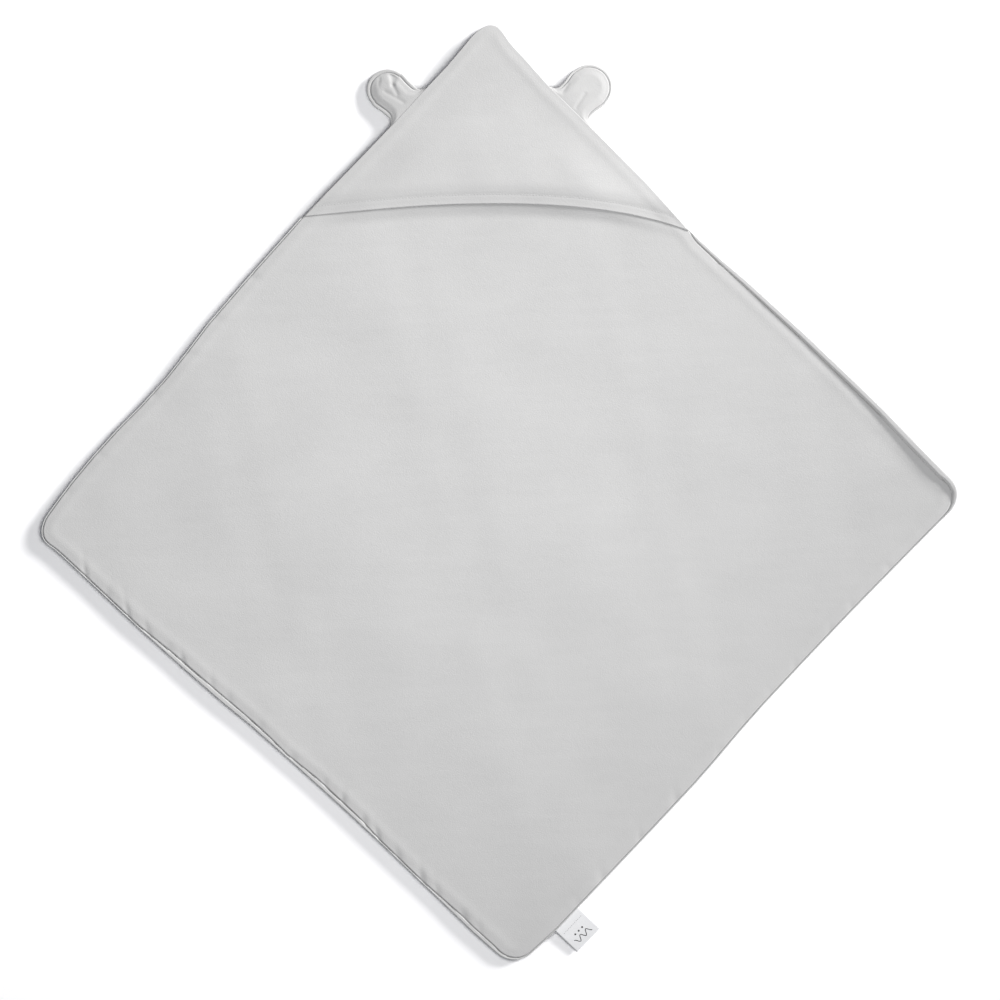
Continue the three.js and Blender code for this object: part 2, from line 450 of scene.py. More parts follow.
# How far in from the furrow the inner panel reaches its full height.
round_width = along_edge(
    (0, 0, 0.7), (mouth_right, 0, 0.7), (mouth_right, 30, 1.6), (right_arc, -200, 2.2),
    (right_arc, -30, 3.0), (right_arc, 30, 2.6), (right_arc, 60, 1.8), (foot_arc, 0, 1.8),
    (low, 0, 1.7), (left_arc, 0, 1.7), (left_arc, 80, 1.6), (mouth_left, -20, 1.4),
    (mouth_left, 0, 0.7), (tip_arc, 0, 0.7),
)

# Shallow waves in the lying towel: wave length, heading in degrees, height and phase.
waves = (
    (310 * mm, 35, 0.42 * mm, 0.4),
    (190 * mm, -48, 0.26 * mm, 2.1),
    (133 * mm, 78, 0.14 * mm, 4.0),
    (87 * mm, 12, 0.07 * mm, 1.2),
    (61 * mm, -70, 0.04 * mm, 5.3),
)

# How high the underside stands off the floor at the edge.
edge_curl = along_edge(
    (0, 0, 0.3), (right_arc, -200, 0.3), (right_arc, 0, 0.8), (foot_arc, -150, 0.3),
    (foot_arc, 0, 0.9), (low, 200, 1.3), (left_arc, -150, 1.6), (left_arc, 30, 1.4),
    (left_arc, 250, 0.8), (tip_arc, 0, 0.4),
)


def wave_run(x, y, length, heading):
    """How far a point lies through a wave that runs across the cloth, as an angle."""
    turn = math.radians(heading)
    return (x * math.cos(turn) + y * math.sin(turn)) * 2 * math.pi / length


curl_reach = 80 * mm


def lift(x, y):
    """The underside's height above the floor: long shallow waves, and edges that curl up."""
    height = np.full(x.shape, sum(wave[2] for wave in waves))
    for length, heading, size, phase in waves:
        run = wave_run(x, y, length, heading)
        height = height + size * np.sin(run + phase + 1.3 * np.sin(run * 0.37 + phase))
    raised = 0
    for seam in seams:
        reach, depth = seam.measure(x, y)
        reach = np.clip(reach, 0, seam.length)
        curl = edge_curl(seam.place + reach) * np.exp(-((np.maximum(depth, 0) / curl_reach) ** 2))
        raised = raised + curl**2
    return height + np.sqrt(raised)


pucker_random = np.random.default_rng(11)
puckers = []
for seam, first, last, spacing, deepest, lean in (
    (lower_left, 0.04, 0.97, 36 * mm, 1.7 * mm, 0.9),
    (lower_right, 0.05, 0.95, 52 * mm, 0.9 * mm, -0.3),
    (upper_left, 0.04, 0.52, 47 * mm, 0.9 * mm, 0.4),
    (upper_right, 0.5, 0.92, 58 * mm, 0.5 * mm, 0.2),
):
    reach = first * seam.length
    while reach < last * seam.length:
        half_length = pucker_random.uniform(2.5, 6) * mm
        fade = pucker_random.uniform(5, 12) * mm
        slant = lean + pucker_random.uniform(-0.5, 0.5)
        depth = deepest * pucker_random.uniform(0.35, 1)
        puckers.append((seam.place + reach, half_length, fade, slant, depth))
        reach += spacing * pucker_random.uniform(0.6, 1.5)


def pucker(place, inside):
    """Short hollows that run in from the seam where its thread has drawn the cloth up."""
    depth = np.zeros(place.shape)
    for middle, half_length, fade, slant, deepest in puckers:
        across = (place - middle - slant * inside) / half_length
        depth += deepest * np.exp(-(across**2)) * np.exp(-((np.maximum(inside, 0) / fade) ** 1.5))
    return depth


def rounding(inside, reach):
    """Rises from 0 at an edge to 1 at a given reach inside it, as a quarter circle does."""
    return np.sqrt(1 - (1 - np.clip(inside / reach, 0, 1)) ** 2)


def laid_from(origin, along_way, out_way, along, out):
    """Points at distances along and outward from a place on a seam."""
    return tuple(origin[k] + along_way[k] * along + out_way[k] * out for k in range(2))


def smooth(share):
    """Rises from 0 to 1 with a level start and end."""
    share = np.clip(share, 0, 1)
    return share * share * (3 - 2 * share)


def seam_level(x, y):
    """The height at which the two panels meet."""
    return lift(x, y) + seam_share * loft


# The hood lies on a swell of the panel below it, which starts at the mouth and fades to the tip.
mouth_slope = 15 * mm
mouth_swell = 3.3 * mm
swell_reach = 160 * mm
swell_side = 60 * mm
furrow_crown = 0.35 * mm


def towel_top(x, y):
    """The height of the inner panel's pile."""
    place, inside = edge_place(x, y)
    beyond_seam = np.maximum(inside - roll_width(place), 0)
    rise = rounding(beyond_seam, round_width(place))
    crown = furrow_crown * np.exp(-(((beyond_seam - 11 * mm) / (6 * mm)) ** 2))
    from_mouth = above_mouth(x, y)
    swell = smooth(1 + from_mouth / mouth_slope) * (1 - smooth(from_mouth / swell_reach))
    crown = crown + mouth_swell * swell * smooth(inside / swell_side)
    flat = seam_level(x, y) + (1 - seam_share) * loft * rise
    return flat + crown - pucker(place, beyond_seam) * rise


edge_lines = 15
panel_step = 4.0 * mm


def spread(length, step=panel_step, lines=edge_lines, first=(0,)):
    """Places from 0 to 1 across a length of cloth, closer together near both edges."""
    k = np.arange(1, lines + 1)
    near = np.concatenate((first, 0.35 * k + 0.085 * k**2)) * mm
    middle = np.linspace(near[-1], length - near[-1], round((length - 2 * near[-1]) / step) + 1)
    return np.concatenate((near, middle[1:-1], (length - near)[::-1])) / length


def sharp_corner(k):
    before, after = seams[k - 1].out, seams[k].out
    return np.array(corners[k]) + corner_radius * (before + after) / (1 + before @ after)


def towel_grid():
    """Points over the whole towel in rows along its seams, drawn in where the corners are rounded."""
    share = spread(upper_right.length + 2 * corner_radius, first=(0, 0.08, 0.24))
    u, v = np.meshgrid(share, share, indexing="ij")
    tip, right, foot, left = (sharp_corner(k) for k in range(4))
    x, y = (
        (1 - u) * (1 - v) * tip[i] + u * (1 - v) * right[i] + (1 - u) * v * left[i] + u * v * foot[i]
        for i in range(2)
    )
    for k in range(4):
        before, after = seams[k - 1].out, seams[k].out
        east, north = x - corners[k][0], y - corners[k][1]
        turned = turn_between(before, (east, north))
        in_arc = (turned > 0) & (turned < turn_between(before, after))
        far = np.maximum(np.hypot(east, north), 1e-9)
        by_before = (east * before[0] + north * before[1]) / far
        by_after = (east * after[0] + north * after[1]) / far
        draw = np.where(in_arc, np.maximum(by_before, by_after), 1)
        x, y = corners[k][0] + east * draw, corners[k][1] + north * draw
    return x, y


def add_piece(name, mesh, finish):
    mesh.name = name
    if finish:
        mesh.materials.append(finish)
    piece = bpy.data.objects.new(name, mesh)
    scene_objects.link(piece)
    return piece


def shell(name, upper, lower, finish):
    """A closed piece of cloth between two grids of points, which are joined along their borders."""
    rows, columns = upper.shape[:2]
    count = rows * columns
    points = np.concatenate((upper.reshape(-1, 3), lower.reshape(-1, 3)))
    points[:, 0], points[:, 1] = settle(points[:, 0], points[:, 1])
    index = np.arange(count).reshape(rows, columns)
    quads = np.stack((index[:-1, :-1], index[:-1, 1:], index[1:, 1:], index[1:, :-1]), -1)
    quads = quads.reshape(-1, 4)
    rim = np.concatenate((index[0, :-1], index[:-1, -1], index[-1, :0:-1], index[:0:-1, 0]))
    following = np.roll(rim, -1)
    sides = np.stack((rim, rim + count, following + count, following), -1)
    mesh = bpy.data.meshes.new(name)
    mesh.from_pydata(points, [], np.concatenate((quads, quads[:, ::-1] + count, sides)))
    tidy(mesh)
    return add_piece(name, mesh, finish)


def tidy(mesh):
    """Merges points that coincide, turns every face out and shades the mesh smooth."""
    work = bmesh.new()
    work.from_mesh(mesh)
    bmesh.ops.remove_doubles(work, verts=work.verts, dist=0.002 * mm)
    bmesh.ops.recalc_face_normals(work, faces=work.faces)
    for face in work.faces:
        face.smooth = True
    work.to_mesh(mesh)
    work.free()


def cut(piece, name, *planes):
    """A copy of a piece with only what lies behind each plane, given as a point and a direction."""
    part = add_piece(name, piece.data.copy(), None)
    for point, direction in planes:
        work = bmesh.new()
        work.from_mesh(part.data)
        everything = list(work.verts) + list(work.edges) + list(work.faces)
        plane = {"plane_co": point, "plane_no": direction}
        bmesh.ops.bisect_plane(work, geom=everything, clear_outer=True, **plane)
        rim = [edge for edge in work.edges if edge.is_boundary]
        for edge in rim:
            edge.smooth = False
        made = bmesh.ops.edgeloop_fill(work, edges=rim)
        for face in made["faces"]:
            face.smooth = False
        work.to_mesh(part.data)
        work.free()
    return part


def towelling(name, grey, nap_heading):
    """Short brushed pile: cotton loops, brushed patches, streaks along the nap and soft fluff."""
    finish = Finish(name)
    cloth = finish.place()

    def noise(scale, detail, vector=cloth, roughness=0.55):
        inputs = {"Vector": vector, "Scale": scale, "Detail": detail, "Roughness": roughness}
        return finish.add("ShaderNodeTexNoise", {}, inputs)

    nap_turn = (0, 0, math.radians(nap_heading))
    inputs = {"Vector": cloth, "Rotation": nap_turn, "Scale": (14, 90, 30)}
    streaks = noise(1.0, 3.0, finish.add("ShaderNodeMapping", {}, inputs))
    patches = noise(11.0, 3.0)
    mottle = noise(120.0, 2.0)
    fluff = noise(620.0, 3.0, roughness=0.7)
    cells = finish.add("ShaderNodeTexVoronoi", {"feature": "F1"}, {"Vector": cloth, "Scale": 820.0})
    loops = 1 - cells * 1.2
    shade = (patches - 0.5) * 0.14 + (streaks - 0.5) * 0.09
    shade = shade + (mottle - 0.5) * 0.05 + (fluff - 0.5) * 0.06
    mix = finish.add("ShaderNodeMapRange", {}, {0: shade, 1: -0.3, 2: 0.3, 3: 0.0, 4: 1.0})
    dark, light = grey * 0.80, grey * 1.20
    colour = finish.between(mix, (dark, dark, dark * 0.998), (light, light, light * 0.998))
    pile = fluff * 0.6 + loops * 0.35 + mottle * 0.35
    bump = finish.bump(pile, 0.30, 0.7 * mm)
    rough = 0.86 + (mottle - 0.5) * 0.12
    return finish.end(
        Base_Color=colour, Roughness=rough, Normal=bump, Specular_IOR_Level=0.12,
        Sheen_Weight=0.2, Sheen_Roughness=0.5, Sheen_Tint=(1, 1, 1, 1),
    )


panel_finish = towelling("panel_towelling", 0.447, 38)
fold_joints = {joint["name"]: joint for joint in frame["joints"]}
side_fold_x = fold_joints["side_right_fold"]["pos_m"][0]
foot_fold_y = fold_joints["foot_fold"]["pos_m"][1]
fold_reach = 36 * mm

grid_x, grid_y = towel_grid()
grid_place, grid_inside = edge_place(grid_x, grid_y)
grid_inside = np.maximum(grid_inside, 0)
seam_z = seam_level(grid_x, grid_y)
rolled = roll_width(grid_place)

underside_round = 4 * mm
shift_reach = 25 * mm
crest = (1 - seam_share) * loft + roll_height(grid_place)
across_roll = 2 * np.clip(grid_inside / rolled, 0, 1) - 1
roll_z = seam_z + crest * (1 - across_roll**12) ** (1 / 12) - ply_gap
under_z = seam_z - seam_share * loft * rounding(grid_inside, underside_round)
upper_side = np.stack((grid_x, grid_y, roll_z), -1)
under_side = np.stack((grid_x, grid_y, np.minimum(under_z, roll_z)), -1)
outer_panel = shell("outer_panel", upper_side, under_side, panel_finish)

shift = rolled * np.clip(1 - grid_inside / shift_reach, 0, 1)
edge_x, edge_y = edge_point(grid_place, grid_inside + shift)
inner_x = np.where(shift > 0, edge_x, grid_x)
inner_y = np.where(shift > 0, edge_y, grid_y)
inner_low = seam_level(inner_x, inner_y) + ply_gap
upper_side = np.stack((inner_x, inner_y, towel_top(inner_x, inner_y) + ply_gap), -1)
under_side = np.stack((inner_x, inner_y, inner_low), -1)
inner_panel = shell("inner_panel", upper_side, under_side, panel_finish)

left_fold = (-side_fold_x, 0, 0)
right_fold = (side_fold_x, 0, 0)
foot_fold = (0, foot_fold_y, 0)
west, east, south, north = (-1, 0, 0), (1, 0, 0), (0, -1, 0), (0, 1, 0)
flaps = {
    "left": ("side_left", [(left_fold, east)], left_fold, (-side_fold_x - fold_reach, 0, 0)),
    "right": ("side_right", [(right_fold, west)], right_fold, (side_fold_x + fold_reach, 0, 0)),
    "foot": ("foot", [(foot_fold, north)], foot_fold, (0, foot_fold_y - fold_reach, 0)),
}


def declare_sheet(piece, rests_on, flat=None):
    """Works out the size a piece of cloth was cut to: its own box if flat, and half its surface. The
    sizes are not used.
    """
    points = np.array([point.co for point in piece.data.vertices])
    box = points.max(axis=0) - points.min(axis=0)
    width, length = flat or (float(box[0]), float(box[1]))
    area = sum(face.area for face in piece.data.polygons) / 2
    area = min(area, 0.999 * width * length)


centre_planes = ((left_fold, west), (right_fold, east), (foot_fold, south))
for whole, stem in ((outer_panel, "outer_panel"), (inner_panel, "inner_panel")):
    centre = cut(whole, stem + "_centre_cloth", *centre_planes)
    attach(centre, "towel")
    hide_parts(stem + "_centre")
    declare_sheet(centre, ["floor"])
    for flap, (body, planes, start, end) in flaps.items():
        part = cut(whole, f"{stem}_{flap}_cloth", *planes)
        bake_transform(part)
        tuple(start)
        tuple(end)
        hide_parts(f"{stem}_{flap}")
        declare_sheet(part, ["floor"])
    bpy.data.objects.remove(whole)

# ------------------------------
# The seam round the towel: a row of small lockstitches in grey polyester thread that joins the two
# panels just inside the furrow. It was sewn inside out, so it lies hidden between them.


def row_of_stitches():
    """Geometry Nodes that lay one rounded stitch after another along a line."""
    tree = bpy.data.node_groups.new("row_of_stitches", "GeometryNodeTree")
    for name, kind in (
        ("Line", "Geometry"), ("Stitch Length", "Float"), ("Gap", "Float"), ("Thread Width", "Float"),
        ("Thread Height", "Float"), ("Unevenness", "Float"), ("Seed", "Int"), ("Thread", "Material"),
    ):
        tree.interface.new_socket(name, in_out="INPUT", socket_type="NodeSocket" + kind)
    tree.interface.new_socket("Stitches", in_out="OUTPUT", socket_type="NodeSocketGeometry")

    def add(kind, settings, inputs, output=0):
        return add_node(tree, kind, settings, inputs).outputs[output]

    given = tree.nodes.new("NodeGroupInput").outputs
    line = add("GeometryNodeMeshToCurve", {}, {"Mesh": given["Line"]})
    pitch = add("ShaderNodeMath", {}, {0: given["Stitch Length"], 1: given["Gap"]})
    spaced = add("GeometryNodeResampleCurve", {"mode": "LENGTH"}, {"Curve": line, "Length": pitch})
    tangent = add("GeometryNodeInputTangent", {}, {})
    heading = add("FunctionNodeAlignRotationToVector", {"axis": "X"}, {"Vector": tangent})
    least = add("ShaderNodeMath", {"operation": "SUBTRACT"}, {0: 1.0, 1: given["Unevenness"]})
    limits = {2: least, 3: 1.0, "Seed": given["Seed"]}
    uneven = add("FunctionNodeRandomValue", {}, limits, output=1)
    length = add("ShaderNodeMath", {"operation": "MULTIPLY"}, {0: given["Stitch Length"], 1: uneven})
    sides = {"X": length, "Y": given["Thread Width"], "Z": given["Thread Height"]}
    size = add("ShaderNodeCombineXYZ", {}, sides)
    stitch = add("GeometryNodeMeshUVSphere", {}, {"Segments": 8, "Rings": 5, "Radius": 0.5})
    copies = {"Points": spaced, "Instance": stitch, "Rotation": heading, "Scale": size}
    laid = add("GeometryNodeInstanceOnPoints", {}, copies)
    real = add("GeometryNodeRealizeInstances", {}, {"Geometry": laid})
    sewn = add("GeometryNodeSetShadeSmooth", {}, {"Geometry": real})
    coloured = {"Geometry": sewn, "Material": given["Thread"]}
    finished = add("GeometryNodeSetMaterial", {}, coloured)
    result = tree.nodes.new("NodeGroupOutput")
    tree.links.new(finished, result.inputs[0])
    return tree


stitch_tree = row_of_stitches()


def sew(name, lines, thread, stitch, seed):
    """A row of stitches along each line of points, made one plain mesh."""
    length, gap, width, height = stitch
    points, edges = [], []
    for x, y, z in lines:
        settled_x, settled_y = settle(x, y)
        first = len(points)
        points += list(zip(settled_x, settled_y, z))
        edges += [(first + k, first + k + 1) for k in range(len(x) - 1)]
    mesh = bpy.data.meshes.new(name + "_line")
    mesh.from_pydata(points, edges, [])
    guide = bpy.data.objects.new(name + "_line", mesh)
    scene_objects.link(guide)
    modifier = guide.modifiers.new("stitches", "NODES")
    modifier.node_group = stitch_tree
    values = {
        "Stitch Length": length, "Gap": gap, "Thread Width": width, "Thread Height": height,
        "Unevenness": 0.12, "Seed": seed, "Thread": thread,
    }
    for item in stitch_tree.interface.items_tree:
        if item.name in values:
            modifier[item.identifier] = values[item.name]
    depsgraph = bpy.context.evaluated_depsgraph_get()
    sewn = bpy.data.meshes.new_from_object(guide.evaluated_get(depsgraph), depsgraph=depsgraph)
    guide.modifiers.remove(modifier)
    bpy.data.objects.remove(guide)
    return add_piece(name, sewn, None)


def thread_finish(name, grey):
    """Spun polyester: a fine twist along the thread and a slight gloss."""
    finish = Finish(name)
    settings = {"wave_type": "BANDS", "bands_direction": "DIAGONAL"}
    inputs = {"Vector": finish.place(), "Scale": 900.0, "Distortion": 1.5, "Detail": 1.0}
    twist = finish.add("ShaderNodeTexWave", settings, inputs, output=1)
    dark, light = grey * 0.82, min(grey * 1.12, 1)
    colour = finish.between(twist, (dark, dark, dark), (light, light, light))
    bump = finish.bump(twist, 0.4, 0.08 * mm)
    rough = 0.42 + twist * 0.16
    return finish.end(Base_Color=colour, Roughness=rough, Normal=bump, Specular_IOR_Level=0.35)


# Each kind of stitch has a length, a gap to the next one, a width and a height.
lockstitch = (2.6 * mm, 0.7 * mm, 0.7 * mm, 0.45 * mm)
seam_thread = thread_finish("seam_thread", 0.42)
seam_allowance = 1.0 * mm
line_step = 3.0 * mm


def edge_line(first, last):
    """The seam line between two places along the outline, at the height where the panels meet."""
    place = np.linspace(first, last, max(int((last - first) / line_step), 2))
    x, y = edge_point(place, roll_width(place) + seam_allowance)
    return x, y, seam_level(x, y)


top_start = place_where(upper_left, 0, -side_fold_x)
right_start = place_where(upper_right, 0, side_fold_x)
right_end = place_where(lower_right, 0, side_fold_x)
foot_start = place_where(lower_right, 1, foot_fold_y)
foot_end = place_where(lower_left, 1, foot_fold_y)
left_start = place_where(lower_left, 0, -side_fold_x)
for number, (stretch, first, last, flap) in enumerate((
    ("top", top_start, perimeter + right_start, None),
    ("right", right_start, right_end, "right"),
    ("lower_right", right_end, foot_start, None),
    ("foot", foot_start, foot_end, "foot"),
    ("lower_left", foot_end, left_start, None),
    ("left", left_start, top_start, "left"),
)):
    line = edge_line(first, last)
    row = sew(stretch + "_seam_stitches", [line], seam_thread, lockstitch, number)
    if flap:
        body, planes, start, end = flaps[flap]
        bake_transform(row)
        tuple(start)
        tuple(end)
    else:
        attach(row, "towel")
    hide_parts("seam_thread_" + stretch)

# ------------------------------
# The hood: two plies of the same towelling across the top corner, sewn together along the mouth,
# turned, and topstitched a centimetre above it. Its sides are caught in the towel's own seam, so it
# opens only at the mouth, which stands a little off the panel.

hood_ply = 2.1 * mm
hood_opening = 0.9 * mm
hood_round = 0.9 * mm
mouth_taper = 26 * mm
mouth_thin = 0.3
mouth_seam_inset = 3 * mm
topstitch_inset = 11 * mm
topstitch = (2.9 * mm, 0.8 * mm, 0.65 * mm, 0.5 * mm)
opening_reach = 190 * mm
opening_side = 120 * mm
slack_side = 110 * mm

# Slack in the hood: wave length, heading in degrees, height and phase.
hood_waves = (
    (170 * mm, 62, 0.20 * mm, 1.0),
    (95 * mm, -35, 0.10 * mm, 3.1),
    (58 * mm, 20, 0.06 * mm, 0.3),
)


def hood_thickness(from_mouth):
    """Each ply is full in the hood's middle and pressed thinner towards the mouth."""
    return hood_ply * (mouth_thin + (1 - mouth_thin) * smooth(from_mouth / mouth_taper))


def between_sides(x, y, reach):
    """Rises from 0 at either side of the hood to 1 at a given reach inside both."""
    share = 1
    for seam in (upper_left, upper_right):
        depth = seam.measure(x, y)[1]
        share = share * smooth(depth / reach)
    return share


def hood_insets(x, y):
    """How far a point lies inside the hood's sewn sides, and inside its mouth."""
    return np.maximum(edge_place(x, y)[1] - hood_inset, 0), np.maximum(above_mouth(x, y), 0)


def hood_seam_level(x, y):
    """The height at which the hood's two plies meet."""
    side_inside, from_mouth = hood_insets(x, y)
    near_mouth = np.clip(1 - from_mouth / opening_reach, 0, 1) ** 1.3
    opening = hood_opening * near_mouth * between_sides(x, y, opening_side)
    slack = np.zeros(x.shape)
    for length, heading, size, phase in hood_waves:
        slack = slack + size * (1 + np.sin(wave_run(x, y, length, heading) + phase))
    opening = opening + slack * between_sides(x, y, slack_side)
    lining = hood_thickness(from_mouth) * rounding(side_inside, hood_round)
    return towel_top(x, y) + 2 * ply_gap + opening + lining


def hood_top(x, y):
    """The height of the hood's outer pile."""
    side_inside, from_mouth = hood_insets(x, y)
    edge = np.minimum(side_inside, from_mouth)
    groove = 0.35 * mm * np.exp(-(((from_mouth - topstitch_inset) / (1.5 * mm)) ** 2))
    groove = groove * smooth(side_inside / (12 * mm))
    outer = hood_thickness(from_mouth) * rounding(edge, hood_round)
    return hood_seam_level(x, y) + outer - groove


hood_finish = towelling("hood_towelling", 0.447, 52)
hood_step = 3.5 * mm
hood_rows = spread(216 * mm, hood_step)
hood_columns = spread(470 * mm, hood_step)
hood_x, hood_y = hood_row(*np.meshgrid(hood_rows, hood_columns, indexing="ij"))
hood_mid = hood_seam_level(hood_x, hood_y)
hood_side_inside, hood_from_mouth = hood_insets(hood_x, hood_y)
hood_edge = np.minimum(hood_side_inside, hood_from_mouth)
hood_low = hood_mid - hood_thickness(hood_from_mouth) * rounding(hood_edge, hood_round)
hood_heights = (hood_top(hood_x, hood_y), hood_mid, hood_low)
hood_upper, hood_middle, hood_under = (
    np.stack((hood_x, hood_y, height), -1) for height in hood_heights
)
hood_outer = shell("hood_outer_whole", hood_upper, hood_middle, hood_finish)
hood_down = (0, 0, ply_gap)
hood_lining = shell(
    "hood_lining_whole", hood_middle - hood_down, hood_under - hood_down, hood_finish,
)

hood_reach = 150 * mm
middle_line = (0, 0, 0)
hood_halves = {}
for half, seam, outward in (("left", upper_left, east), ("right", upper_right, west)):
    start = seam.start + seam.out * corner_radius
    end = start - seam.out * hood_reach
    hood_halves[half] = (outward, (*start, 0), (*end, 0))


def sew_hood_half(piece, half, node):
    outward, start, end = hood_halves[half]
    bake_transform(piece)
    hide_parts(node)


for whole, node in ((hood_outer, "hood_outer"), (hood_lining, "hood_lining")):
    for half, (outward, start, end) in hood_halves.items():
        part = cut(whole, f"{node}_{half}_half", (middle_line, outward))
        sew_hood_half(part, half, node)
        declare_sheet(part, ["inner_panel_centre_cloth"])
    bpy.data.objects.remove(whole)


def mouth_stitch_line(inset, half, level):
    """A line of points inside the mouth, from the hood's side to its middle."""
    heading = np.arctan(np.gradient(mouth_y, mouth_x))
    x = mouth_x - np.sin(heading) * inset
    y = mouth_y + np.cos(heading) * inset
    clear_of_side = edge_place(x, y)[1] > hood_inset + 3 * mm
    kept = clear_of_side & (x * (1 if half == "right" else -1) >= -1 * mm)
    return x[kept], y[kept], level(x[kept], y[kept])


for half, seed in (("left", 21), ("right", 22)):
    line = mouth_stitch_line(mouth_seam_inset, half, hood_seam_level)
    row = sew(f"hood_mouth_seam_{half}_half", [line], seam_thread, lockstitch, seed)
    sew_hood_half(row, half, "hood_mouth_seam")
    line = mouth_stitch_line(topstitch_inset, half, hood_top)
    row = sew(f"hood_topstitch_{half}_half", [line], seam_thread, topstitch, seed + 10)
    sew_hood_half(row, half, "hood_topstitch")

# ------------------------------
# The ears: each is two plies of towelling sewn round, turned, and caught by its open end in the hood's
# side seam. The back ply rolls round to the front as a narrow rim, and the front ply lies creased.

ear_ply = 2.1 * mm
ear_puff = 1.3 * mm
ear_round = 1.8 * mm
ear_tuck = 5 * mm
ear_fillet = 8.5 * mm
ear_raise = 4.4 * mm
ear_droop = 68 * mm
ear_bend = 15 * mm
crease_depth = 0.65
ear_stitch = (2.3 * mm, 0.7 * mm, 0.7 * mm, 0.45 * mm)
ear_finish = towelling("ear_towelling", 0.425, 75)


class Ear:
    """One ear on a flat pattern: along the seam away from the hood's tip, and outward from it."""

    def __init__(self, joint, out, sign, middle, neck, radius, reach, rim, creases):
        self.origin = np.array(fold_joints[joint]["pos_m"][:2])
        self.out = out
        self.along = np.array((out[1], -out[0])) * sign
        self.middle = middle * mm
        self.neck = neck * mm
        self.radius = radius * mm
        self.head = (reach - radius) * mm
        self.rim = rim * mm
        self.creases = [tuple(value * mm for value in crease) for crease in creases]

    def half_width(self, out, inset):
        """Half the ear's width: a round head, a straight neck and a fillet where it meets the seam."""
        head = np.sqrt(np.maximum((self.radius - inset) ** 2 - (out - self.head) ** 2, 0))
        fillet = ear_fillet + inset
        drop = np.clip(fillet - np.maximum(out, 0), 0, fillet)
        neck = self.neck - inset + fillet - np.sqrt(fillet**2 - drop**2)
        blunt = (head**14 + neck**14) ** (1 / 14)
        return np.where(out > self.head, head, blunt)

    def grid(self, inset):
        turn = np.linspace(0, math.pi / 2, 40)
        top = self.head + (self.radius - inset) * np.sin(turn)
        out = np.concatenate((np.linspace(-ear_tuck, self.head, 40)[:-1], top))
        share = spread(2 * self.radius, 1.4 * mm, 9) * 2 - 1
        out, share = np.meshgrid(out, share, indexing="ij")
        return share * self.half_width(out, inset), out

    def inside(self, along, out, inset):
        """How far a point lies inside the ear's outline."""
        from_head = self.radius - inset - np.hypot(along, np.maximum(out - self.head, 0))
        from_side = self.half_width(np.minimum(out, self.head), inset) - np.abs(along)
        return np.maximum(np.where(out > self.head, from_head, from_side), 0)

    def level(self, along, out):
        """The height at which the two plies meet: it leaves the towel's seam and sinks to the floor."""
        x, y = self.place(along, out)
        base_x, base_y = self.place(along, np.minimum(out, -1 * mm))
        sunk = (ear_ply + ear_puff) + 0.9 * mm
        share = smooth((out + 2 * mm) / ear_droop)
        base = seam_level(base_x, base_y) + ear_raise
        return base * (1 - share) + sunk * share

    def place(self, along, out):
        return laid_from(self.origin, self.along, self.out, along + self.middle, out)

    def crease(self, along, out):
        depth = np.zeros(along.shape)
        for start_along, start_out, end_along, end_out, wide, deep in self.creases:
            run_along, run_out = end_along - start_along, end_out - start_out
            share = (along - start_along) * run_along + (out - start_out) * run_out
            share = np.clip(share / (run_along**2 + run_out**2), 0, 1)
            far = np.hypot(along - start_along - share * run_along, out - start_out - share * run_out)
            depth += crease_depth * deep * np.exp(-((far / wide) ** 2))
        return depth


# Each crease: where it starts and ends, along and outward, its width and depth, in millimetres.
ears = {
    "left": Ear("ear_left_flop", upper_left.out, -1, -4.2, 24.4, 25.0, 57.2, 4.6, (
        (-18, 38, -14, 34, 3.4, 1.3), (-16, 42, -8, 31, 2.4, 1.2), (-8, 31, -3, 19, 2.2, 0.8),
        (4, 33, -1, 8, 2.4, 0.7), (-3, 48, 4, 43, 2.0, 0.5), (-15, 26, -13, 12, 2.4, 0.3),
    )),
    "right": Ear("ear_right_flop", upper_right.out, 1, 5.6, 25.8, 27.4, 59.8, 3.2, (
        (2, 23, 6, 4, 2.2, 0.7), (6, 40, 1, 29, 3.0, 0.3), (-21, 17, -18, 5, 1.8, 0.8),
    )),
}


def ear_cloth(ear, along, out, height):
    x, y = ear.place(along, out)
    return np.stack((x, y, height), -1)


